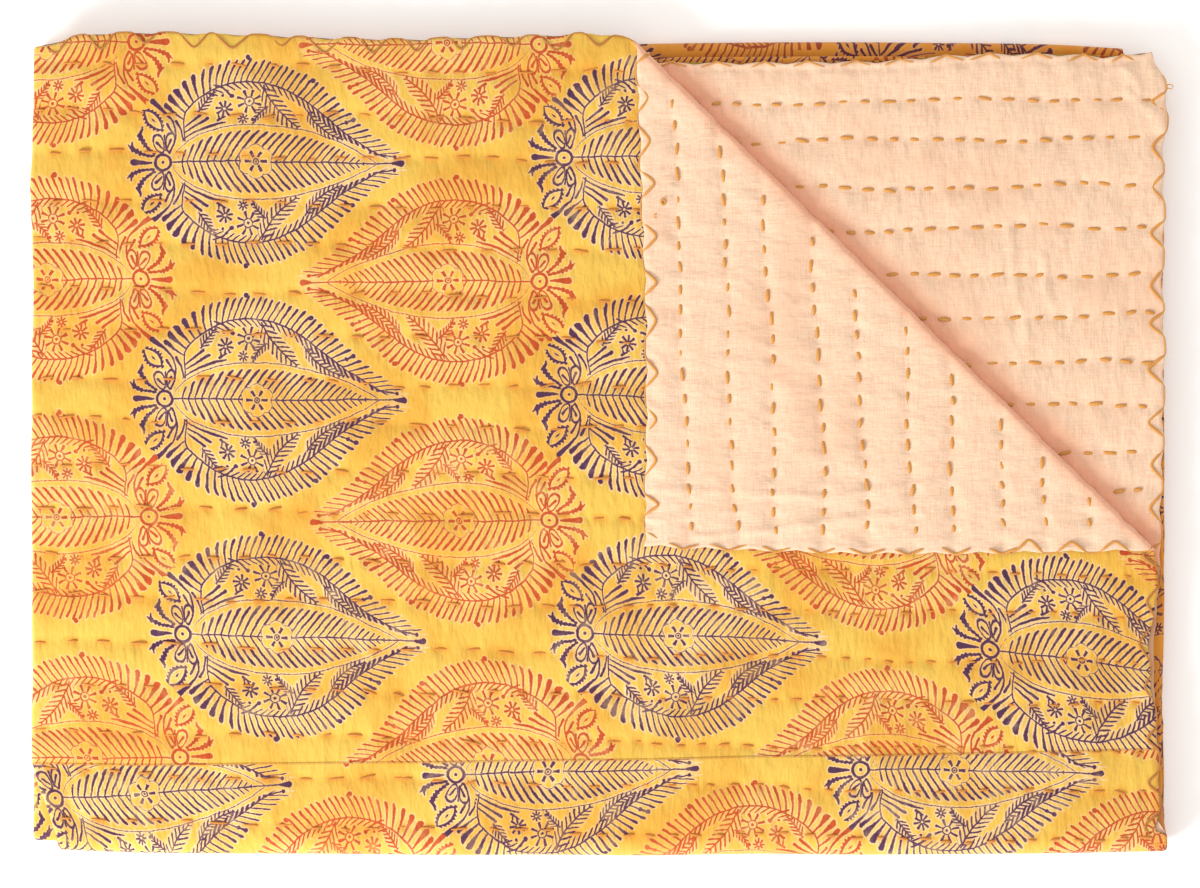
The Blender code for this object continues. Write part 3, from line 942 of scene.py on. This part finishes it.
def print_on(piece):
    """Gives the cloth its block map, stores each face's ink, and sorts the faces by the part of the
    leaf they carry: 0 for bare ground, 1 for the middle, 2 for the head and 3 for the border."""
    mesh = piece.data
    flat = np.empty(2 * len(mesh.loops))
    mesh.uv_layers["Flat cloth"].data.foreach_get("uv", flat)
    u, v = flat.reshape(-1, 3, 2).transpose(2, 0, 1)
    x, y, coral, luck = blocks(u, v, u.mean(axis=1)[:, None], v.mean(axis=1)[:, None])
    layer = mesh.uv_layers.new(name="Block")
    layer.data.foreach_set("uv", np.stack((x, y), axis=2).ravel())
    for name, values in (("Coral", coral), ("Ink", 0.5 + 0.5 * luck)):
        attribute = mesh.attributes.new(name, "FLOAT", "FACE")
        attribute.data.foreach_set("value", values.ravel().astype(np.float32))
    x, y = x.mean(axis=1), np.abs(y).mean(axis=1)
    half = half_leaf(np.clip(x, 9, 213), np.power)
    turn = np.degrees(np.arctan2(y, x - HEART))
    border = RIB + RIB_GROWTH * np.exp(-turn / 14) + BORDER_REACH
    part = np.where(x < HEAD_END, 2, 3)
    part[(x > MIDDLE_START) & (y + 3.2 < half)] = 1
    part[(np.hypot(x - HEART, y) >= border) & (np.hypot(x, y) >= HEAD_REACH)] = 0
    mesh.polygons.foreach_set("material_index", part.astype(np.int32))


def stored(tree, name):
    """The value that the mesh stores under a name."""
    made = tree.nodes.new("ShaderNodeAttribute")
    made.attribute_name = name
    return Field(tree, made.outputs["Fac"])


# How the hand-cut lines waver: noises over the sheet, and how far each moves a point.
WAVERS = ((0.011, 5.0), (0.075, 1.8))


def block_point(tree, sheet):
    """A place on its block as (x, |y|, 1), moved by the wavers less their mean: the leaf is the same on
    both sides of its middle line."""
    block = tree.nodes.new("ShaderNodeUVMap")
    block.uv_map = "Block"
    place = Field(tree, block.outputs["UV"])
    for scale, amount in WAVERS:
        drawn = noise(sheet, scale, 1, 1)
        place = drawn.math("MULTIPLY_ADD", drawn, (amount, amount, 0), place, kind="ShaderNodeVectorMath")
    split = tree.nodes.new("ShaderNodeSeparateXYZ")
    tree.links.new(place.socket, split.inputs[0])
    x, y = (Field(tree, split.outputs[k]) - sum(amount for _, amount in WAVERS) / 2 for k in (0, 1))
    point = tree.nodes.new("ShaderNodeCombineXYZ")
    tree.links.new(x.socket, point.inputs[0])
    tree.links.new(abs(y).socket, point.inputs[1])
    point.inputs[2].default_value = 1
    return Field(tree, point.outputs[0])


def print_material(name, shapes):
    """The printed cotton with these shapes of the leaf on it. The yellow is blotched and paler beside
    the ink. Painted shade makes it orange round the stitches, deeper orange by the hems and round the
    far folds, and brown beside the far fold's crest and along the seam. The ink lies where the
    distance from a line is below 0, is worn thin in places, and is darkened by the same painted shade."""
    material, flat = cotton_material(name, 0.85, 0.15)
    tree = material.node_tree
    u, v = along(flat, 1, 0, 0), along(flat, 0, 1, 0)
    sheet = flat.math("MULTIPLY", flat, (1 / PRINT, 1 / PRINT, 0), kind="ShaderNodeVectorMath")
    blotches = noise(sheet, 0.012, 4)
    colour = blend(between(blotches, 0.40, 0.68), YELLOW, DEEP_YELLOW)
    if shapes:
        point = block_point(tree, sheet)
        off = low(*(shape(point) for shape in shapes)) + noise(sheet, 0.42, 2) * 1.1 - 0.88
        halo = between(off, 1.9, 0.3) * between(blotches, 0.66, 0.40, 0.35, 0.95)
        colour = blend(halo * (1 - 0.4 * stored(tree, "Coral")), colour, PALE)
    # Painted shade: orange round the stitches, in the dimples where they draw the cloth in.
    colour = blend(stored(tree, "Stitch shade") * 0.7, colour, ORANGE)
    # Painted shade: deeper orange by the side hems, more so on the leaves below the top one and round the
    # far folds, and brown in a band beside the far fold's crest.
    fold_middle = TOP_LEAF + RUNS[1][0] + RUNS[2][0] + RUNS[3][0] / 2
    far_fold = low(abs(v - fold_middle), LENGTH + 4 * MM - v)
    from_hem = WIDTH / 2 - abs(u - WIDTH / 2)
    on_top_leaf = between(v, 0.535, 0.525)
    hem_shade = between(from_hem + on_top_leaf, 0.014, 0.004) * 0.7
    shaded = high(between(far_fold, 0.030, 0.012) * 0.85, hem_shade)
    colour = blend(between(from_hem, 0.010, 0.002) * 0.4, colour, DEEP_ORANGE)
    colour = blend(shaded * 0.85, colour, DEEP_ORANGE)
    colour = blend(between(far_fold, 0.003, 0.014) * between(far_fold, 0.030, 0.016) * 0.6, colour, BROWN)
    if shapes:
        worn = noise(sheet, 0.05, 3) + stored(tree, "Ink") * 0.15
        inked = between(off, 0.45, -0.45) * between(worn, 0.25, 0.6, 0.74, 1.0)
        # The ink takes the same painted shade, towards dark red.
        ink = blend(shaded * 0.55, blend(stored(tree, "Coral"), NAVY, CORAL), DARK_RED)
        colour = blend(inked, colour, ink)
    # Painted shade along the seam's fold: a thin brown line. The same line is a groove in the relief.
    seam = between(abs(v - seam_line(u)), 2.2 * PRINT, 0.4 * PRINT)
    colour = blend(seam * 0.35, colour, BROWN)
    relief = weave(flat, 2300, 260) * 0.08 + crumple(flat) * 0.40 + pucker(flat) * 0.20 - seam * 0.3
    finish_cotton(material, colour, relief, 1.6 * MM)
    return material


print_on(printed)
for name, shapes in (
    ("printed cotton ground", ()),
    ("printed cotton leaf middle", (leaf_middle,)),
    ("printed cotton leaf head", (leaf_head, leaf_outline, leaf_feather)),
    ("printed cotton leaf border", (leaf_outline, leaf_feather, leaf_inside)),
):
    printed.data.materials.append(print_material(name, shapes))

# ---------------------------------------------------------------------------------------------
# The plain back. One cloth of peach plain-weave cotton, cut to the size of the printed face and
# laid against it, its hems turned in to meet the printed ones and sewn to them.

# Its lines, close together where the turned corner bares it, and on the turn along the left.
PLAIN_STEP = 2.4 * MM
u_lines = hemmed(np.concatenate((lines(0, 0.385, PLAIN_STEP), lines(0.385, LEAF, 15 * MM),
                                 lines(LEAF, WIDTH - LEAF, 0.6 * MM),
                                 lines(WIDTH - LEAF, 1.10, 15 * MM),
                                 lines(1.10, WIDTH - 5 * MM, PLAIN_STEP))), WIDTH)
v_lines = hemmed(np.concatenate((lines(0, 0.38, PLAIN_STEP / CLOSER), lines(0.38, TOP_LEAF, 10 * MM),
                                 turns(40 * MM, 40 * MM))), LENGTH)
back = cloth("plain_back_cloth", u_lines, v_lines, -1)
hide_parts("plain_back")
PEACH = (0.750, 0.535, 0.375)
PINK = (0.710, 0.425, 0.275)
CREAM = (0.800, 0.640, 0.510)
SALMON = (0.860, 0.310, 0.165)
UMBER = (0.520, 0.190, 0.050)


def past_crease(u, v):
    """How far the flat top leaf's point lies past the diagonal crease."""
    a, b = np.array(CREASE_FROM), np.array(CREASE_TO)
    d = (b - a) / np.hypot(*(b - a))
    x, y = LEAF - u + LEFT_TURN, TOP_HEM - v
    return (y - a[1]) * d[0] - (x - a[0]) * d[1]


# Its threads are thick and thin in both directions, with cream slubs and broad pinker patches. Painted
# shade makes it more salmon on the crease and on the under leaf below the crease, and umber by the
# under leaf's right hem on the near part of the pile.
peach, flat = cotton_material("plain cotton", 0.9, 0.25)
u, v = along(flat, 1, 0, 0), along(flat, 0, 1, 0)
slubs = weave(flat, 1100, 70)
colour = blend(between(slubs, 0.32, 0.56) * 0.75 + 0.25, PINK, PEACH)
colour = blend(between(noise(stretched(flat, 620, 430), 1, 2), 0.56, 0.76) * 0.5, colour, CREAM)
colour = blend(between(noise(flat, 15, 3), 0.46, 0.72) * 0.45, colour, PINK)
# Painted shade: salmon on the under leaf beside the turned corner's crease, and along the crease on the
# flap.
colour = blend(between(abs(past_crease(WIDTH - u, v)), 0.022, 0.002) * 0.55, colour, SALMON)
colour = blend(between(abs(past_crease(u, v)), 0.011, 0.0) * 0.45, colour, SALMON)
# Painted shade: umber by the stacked right hems on the near part of the pile.
lower_hem_shade = between(u, 1.484, 1.494) * between(v, 0.338, 0.36) * between(v, 0.45, 0.50, 0.55, 0.95)
colour = blend(lower_hem_shade, colour, UMBER)
wide_waves = noise(stretched(flat, 60, 36), 1, 2)
relief = slubs * 0.14 + crumple(flat) * 0.35 + wide_waves * 1.2 + pucker(flat) * 0.06
finish_cotton(peach, colour, relief, 1.5 * MM)
back.data.materials.append(peach)

# ---------------------------------------------------------------------------------------------
# The quilting thread. Thick mustard cotton, run through both cloths along each row: each stitch is
# a short soft arch whose ends go down into the cloth. Only the stitches that can be seen are here.


def tube(path, across, half_width, half_height, sides):
    """The corners of tubes round paths of (u, v, w) points: the path, plus across times the half
    width times the cosine round the tube, plus the half height times its sine on w. Paths are
    (tubes, rings, 3), and the widths (tubes, rings)."""
    turn = np.arange(sides) * 2 * pi / sides
    sideways = (across * half_width[..., None])[:, :, None, :]
    corners = path[:, :, None, :] + sideways * np.cos(turn)[:, None]
    corners[..., 2] += half_height[..., None] * np.sin(turn)
    return corners


def tube_faces(tubes, rings, sides):
    """The faces of closed tubes, four corners each, with a fan of triangles at each end."""
    ring, side = (g.ravel() for g in np.meshgrid(np.arange(rings - 1), np.arange(sides), indexing="ij"))
    after = (side + 1) % sides
    quads = np.column_stack((ring * sides + side, ring * sides + after,
                             (ring + 1) * sides + after, (ring + 1) * sides + side))
    tris = np.concatenate((quads[:, [0, 2, 1]], quads[:, [0, 3, 2]]))
    fan = np.column_stack((np.zeros(sides - 2, int), np.arange(1, sides - 1), np.arange(2, sides)))
    tris = np.concatenate((tris, fan, fan[:, ::-1] + (rings - 1) * sides))
    return (tris[None] + (np.arange(tubes) * rings * sides)[:, None, None]).reshape(-1, 3)


def thread_piece(name, places, tris, along_thread, round_thread):
    """A piece made of thread, with a UV map of millimetres along it and turns round it."""
    piece = new_piece(name, places, tris, "Thread", np.column_stack((along_thread, round_thread)))
    return piece


def running_stitches(name, side, rows, kept, half_width, half_height):
    """The stitches of these rows on one side of the cloth, where kept says so: 5 rings of 6 corners
    each, deep and thin at the ends and highest in the middle, each a little off its row and askew."""
    u, v, long, tilt = [], [], [], []
    for k in rows:
        starts, lengths = row_stitches(k)[0 if side > 0 else 1]
        middle = starts + lengths / 2
        rng = np.random.default_rng(300 + k)
        place = row_line(k, middle) + rng.normal(0, 0.35 * MM, len(middle))
        shown = kept(middle, place)
        u, v, long = u + [middle[shown]], v + [place[shown]], long + [lengths[shown]]
        tilt.append(rng.normal(0, 0.10, len(middle))[shown])
    u, v, long, tilt = (np.concatenate(part)[:, None] for part in (u, v, long, tilt))
    t = np.array((-1, -0.72, 0, 0.72, 1))
    rise = np.array((-0.7, 0.25, 0.5, 0.25, -0.7))
    share = np.array((0.40, 0.84, 1, 0.84, 0.40))
    path_u, path_v = u + long / 2 * t, v + long / 2 * t * tilt + 0 * u
    flat_u, flat_v = path_u.ravel(), path_v.ravel()
    base = skin(flat_u, flat_v, side).reshape(path_u.shape)
    path_w = side * (base + rise * half_height + 0.12 * MM)
    path = np.stack((path_u, path_v, path_w), axis=2)
    share = share + 0 * u
    corners = tube(path, np.array((0, 1.0, 0)), half_width * share, half_height * share, 6)
    tubes, rings, sides, _ = corners.shape
    flat = corners.reshape(-1, 3)
    tris = tube_faces(tubes, rings, sides)
    length = np.broadcast_to((long / 2 * (t + 1))[:, :, None] / MM, (tubes, rings, sides)).ravel()
    around = np.broadcast_to(np.arange(sides) / sides, (tubes, rings, sides)).ravel()
    return thread_piece(name, fold(*flat.T), tris, length, around)


def on_top(u, v):
    """On the top leaf, short of the crease."""
    return (u < WIDTH / 2) & (past_crease(u, v) < 3 * MM)


def on_flap(u, v):
    """On the turned corner, past the crease."""
    return (u < WIDTH / 2) & (past_crease(u, v) > 7 * MM)


def on_revealed(u, v):
    """On the under leaf, where the turned corner bares it, and a little way under the leaf."""
    return (u > WIDTH / 2) & (past_crease(WIDTH - u, v) > -12 * MM) & (v > 25 * MM)


def on_bottom(u, v):
    """On the printed face of the bottom leaf."""
    return (u < WIDTH / 2) & (v > TOP_LEAF + pi * NEAR_RADIUS) & (v < TOP_LEAF + RUNS[1][0] + RUNS[2][0])


def thread_material(name, colour, dark):
    """Cotton of twisted strands: between its colour and its dark one goes a sine of the place along
    the thread, one strand to 1.9 mm, plus two turns round it."""
    material = bpy.data.materials.new(name)
    material.use_nodes = True
    tree = material.node_tree
    shader = tree.nodes["Principled BSDF"]
    shader.inputs["Roughness"].default_value = 0.6
    shader.inputs["Sheen Weight"].default_value = 0.2
    thread_map = tree.nodes.new("ShaderNodeUVMap")
    thread_map.uv_map = "Thread"
    place = Field(tree, thread_map.outputs["UV"])
    strands = sine(along(place, 2 * pi / 1.9, 4 * pi, 0)) * 0.5 + 0.5
    shade = blend(between(strands, 0.0, 0.8) * 0.45 + 0.5, dark, colour)
    finish_cotton(material, shade, strands, 0.05 * MM)
    return material


mustard = thread_material("mustard thread", (0.610, 0.275, 0.042), (0.430, 0.160, 0.018))
# A darker copy of the same thread, as painted shade where the stitches sink into the printed side's
# grooves.
sunk = thread_material("mustard thread sunk in print", (0.540, 0.200, 0.012), (0.40, 0.13, 0.010))
top_rows, bottom_rows = range(0, 18), range(19, 37)
for name, side, rows, kept, size, thread in (
    ("stitches_on_print", 1, top_rows, on_top, (0.78, 0.55), sunk),
    ("stitches_on_flap", -1, top_rows, on_flap, (1.30, 0.75), mustard),
    ("stitches_revealed", -1, top_rows, on_revealed, (1.30, 0.75), mustard),
    ("stitches_below", 1, bottom_rows, on_bottom, (0.80, 0.40), sunk),
):
    stitches = running_stitches(name, side, rows, kept, size[0] * MM, size[1] * MM)
    stitches.data.materials.append(thread)

# ---------------------------------------------------------------------------------------------
# The edge thread. The same thread, whipped over the hems: it lies along the edge, runs in to a point
# and comes back, so that the hem bulges a little between its stitches. Where it was worked the other
# way up, separate bent stitches show. It is knotted on the turned corner.


def on_hem(hem, s, inside):
    """The (u, v) of places s along a hem and inside it: the far hem, the right one or the under
    leaf's right one."""
    if hem == "far":
        return s, inside
    return inside if hem == "right" else WIDTH - inside, s


def edge_path(s, hem, depth, surface, side):
    """The thread's (u, v, w) at places s along a hem. In each pitch it runs in from the edge to a
    point and out again, a fifth to a third of a pitch each way, and keeps to the edge for the rest."""
    t = s / EDGE_PITCH
    number = np.floor(t).astype(int)
    t = t - number
    luck = np.random.default_rng(11).uniform(0, 1, (3, 200))[:, number % 200]
    apex, leg = 0.28 + 0.2 * luck[0], 0.21 + 0.15 * luck[1]
    deep = np.clip((leg + 0.04 - np.abs(t - apex)) / leg, 0, 1) * depth * (0.65 + 0.55 * luck[2])
    deep = deep - 0.35 * MM
    u, v = on_hem(hem, s, np.clip(deep, 0.2 * MM, None))
    height = skin(u, v, side) + surface * np.clip(deep / (2 * MM), 0, 1)
    out = np.clip(-deep / MM, 0, 1) * MM
    if hem == "far":
        v = v - out - 0.2 * MM
    else:
        u = u - out if hem == "right" else u + out
    return np.column_stack((u, v, side * height))


def thread_along(name, paths, half_width, half_height, sides=8):
    """Tubes along paths on the cloth, (tubes, rings, 3), across each path's own direction there,
    thin at their ends."""
    heading = np.gradient(paths[:, :, :2], axis=1)
    heading /= np.hypot(heading[..., 0], heading[..., 1])[..., None]
    across = np.stack((-heading[..., 1], heading[..., 0], 0 * heading[..., 0]), axis=2)
    tubes, rings, _ = paths.shape
    thin = np.clip(np.minimum(np.arange(rings), np.arange(rings)[::-1]) / 3, 0.25, 1)
    thin = thin + 0 * heading[..., 0]
    corners = tube(paths, across, half_width * thin, half_height * thin, sides)
    step = np.hypot(*np.diff(paths[:, :, :2], axis=1).transpose(2, 0, 1)) / MM
    length = np.concatenate((np.zeros((tubes, 1)), np.cumsum(step, axis=1)), axis=1)
    length = np.broadcast_to(length[:, :, None], (tubes, rings, sides)).ravel()
    around = np.broadcast_to(np.arange(sides) / sides, (tubes, rings, sides)).ravel()
    places = fold(*corners.reshape(-1, 3).T)
    return thread_piece(name, places, tube_faces(tubes, rings, sides), length, around)


def edge_thread(name, hem, side, start, end, half_width, half_height, depth=9.2 * MM):
    """The thread along a hem, a ring every 1.3 mm, half as thick where it keeps to the edge."""
    s = np.linspace(start, end, round((end - start) / (1.3 * MM)))
    path = edge_path(s, hem, depth, 0.5 * half_height, side)
    path[1:-1] = (path[:-2] + 2 * path[1:-1] + path[2:]) / 4
    hem_off = path[:, 1] if hem == "far" else np.minimum(path[:, 0], WIDTH - path[:, 0])
    share = np.interp(hem_off, (0.5 * MM, 2.5 * MM), (0.5, 1))
    return thread_along(name, path[None], half_width * share, half_height * share)


# Where in its pitch an open stitch has its middle.
OPEN_MIDDLE = 0.88


def open_stitches(name, hem, side, start, end, half_width, half_height, depth):
    """Where the thread is worked the other way up: one bent stitch to a pitch, from a hole inside
    the hem out to the edge and back in to a second hole, a little short of the next stitch's."""
    first, last = (round(place / EDGE_PITCH - OPEN_MIDDLE) for place in (start, end))
    middles = (np.arange(first, last + 1) + OPEN_MIDDLE)[:, None] * EDGE_PITCH
    rng = np.random.default_rng(len(middles) + 50)
    t = np.linspace(-1, 1, 19)
    legs = EDGE_PITCH * np.where(t < 0, *rng.uniform(0.30, 0.46, (2, *middles.shape)))
    deep = depth * np.where(t < 0, *rng.uniform(0.7, 1.1, (2, *middles.shape)))
    s = middles + rng.uniform(-1.5, 1.5, middles.shape) * MM + t * legs
    u, v = on_hem(hem, s, np.clip(np.abs(t) * deep - 0.4 * MM, 0.15 * MM, None))
    base = skin(u.ravel(), v.ravel(), side).reshape(s.shape)
    height = base + half_height * (0.5 - 2.6 * np.clip((np.abs(t) - 0.88) / 0.12, 0, 1))
    return thread_along(name, np.stack((u, v, side * height), axis=2), half_width, half_height)


# A still darker copy of the same thread, as painted shade on the printed far and right hems.
darkened = thread_material("darkened mustard thread", (0.430, 0.160, 0.014), (0.30, 0.095, 0.010))
for name, hem, side, start, end, thick, thread in (
    ("edge_thread_far_printed", "far", 1, 0.30, 0.742, 0.75, darkened),
    ("edge_thread_far_flap", "far", -1, 0.010, 0.355, 1.05, mustard),
    ("edge_thread_right_flap", "right", -1, 0.238, 0.345, 1.05, mustard),
    ("edge_thread_right_printed", "right", 1, 0.325, 0.530, 1.0, darkened),
    ("edge_thread_right_revealed", "under", -1, 0.020, 0.37, 1.05, mustard),
):
    edging = edge_thread(name, hem, side, start, end, thick * MM, 0.7 * thick * MM)
    edging.data.materials.append(thread)
for name, hem, start, end, depth in (
    ("open_stitches_right_flap", "right", 0.020, 0.225, 6.0),
    ("open_stitches_far_revealed", "far", 1.12, 1.468, 7.5),
):
    edging = open_stitches(name, hem, -1, start, end, 1.05 * MM, 0.7 * MM, depth * MM)
    edging.data.materials.append(mustard)

# Two knots on the turned corner, and a loose loop at the under leaf's corner: turns of thread round
# a point on the plain side, with the radius and half width in mm.
turned = np.linspace(0, 1, 22)
for name, u, v, radius, rounds, thick in (
    ("edge_knot", 0.2434, 0.0163, 1.7, 1.3, 0.9),
    ("edge_knot_small", 0.2342, 0.0105, 1.3, 1.2, 0.7),
    ("corner_loop", 1.5024, 0.0301, 2.1, 1.1, 0.42),
):
    a = turned * rounds * 2 * pi
    path = np.column_stack((u + radius * MM * np.cos(a), v + 0.8 * radius * MM * np.sin(a), 0 * a))
    path[:, 2] = -skin(np.clip(path[:, 0], 0, WIDTH), path[:, 1], -1) - 0.5 * thick * MM * turned
    knot = thread_along(name, path[None], thick * MM, 0.8 * thick * MM)
    knot.data.materials.append(mustard)

# ---------------------------------------------------------------------------------------------
# The surface it lies on, the light and the camera. The surface is white and glows faintly, as a lit
# table does, so that the quilt's shadow stays pale. One soft lamp stands low at the near left, under
# an even warm white sky, and the camera looks straight down with the far hems up.

bpy.ops.mesh.primitive_plane_add(size=6, location=(0, 0, -0.3 * MM))
floor = bpy.context.object
floor.name = "floor"
white = bpy.data.materials.new("floor")
white.use_nodes = True
shader = white.node_tree.nodes["Principled BSDF"]
shader.inputs["Base Color"].default_value = (0.95, 0.95, 0.95, 1)
shader.inputs["Roughness"].default_value = 0.8
shader.inputs["Emission Color"].default_value = (1, 1, 1, 1)
shader.inputs["Emission Strength"].default_value = 0.12
floor.data.materials.append(white)

SHOWN_WIDTH = 1200 * 0.6642 * MM
CAMERA_HEIGHT = 3.5
SENSOR = 36
camera = bpy.data.objects.new("camera", bpy.data.cameras.new("camera"))
bpy.context.collection.objects.link(camera)
camera.location = (0.7 * MM, 0.56 * MM, CAMERA_HEIGHT)
camera.data.sensor_width = SENSOR
camera.data.lens = SENSOR * (CAMERA_HEIGHT - TOP_LEVEL) / SHOWN_WIDTH
bpy.context.scene.camera = camera

lamp = bpy.data.lights.new("key", "AREA")
lamp.energy = 72
lamp.size = 1.0
key = bpy.data.objects.new("key", lamp)
key.location = (-1.6, -1.5, 1.15)
key.rotation_euler = (-key.location).to_track_quat("-Z", "Y").to_euler()
bpy.context.collection.objects.link(key)

bpy.context.scene.view_settings.view_transform = "Standard"
world = bpy.data.worlds.new("world")
bpy.context.scene.world = world
world.use_nodes = True
sky = world.node_tree.nodes["Background"]
sky.inputs["Color"].default_value = (1, 0.955, 0.915, 1)
sky.inputs["Strength"].default_value = 0.96
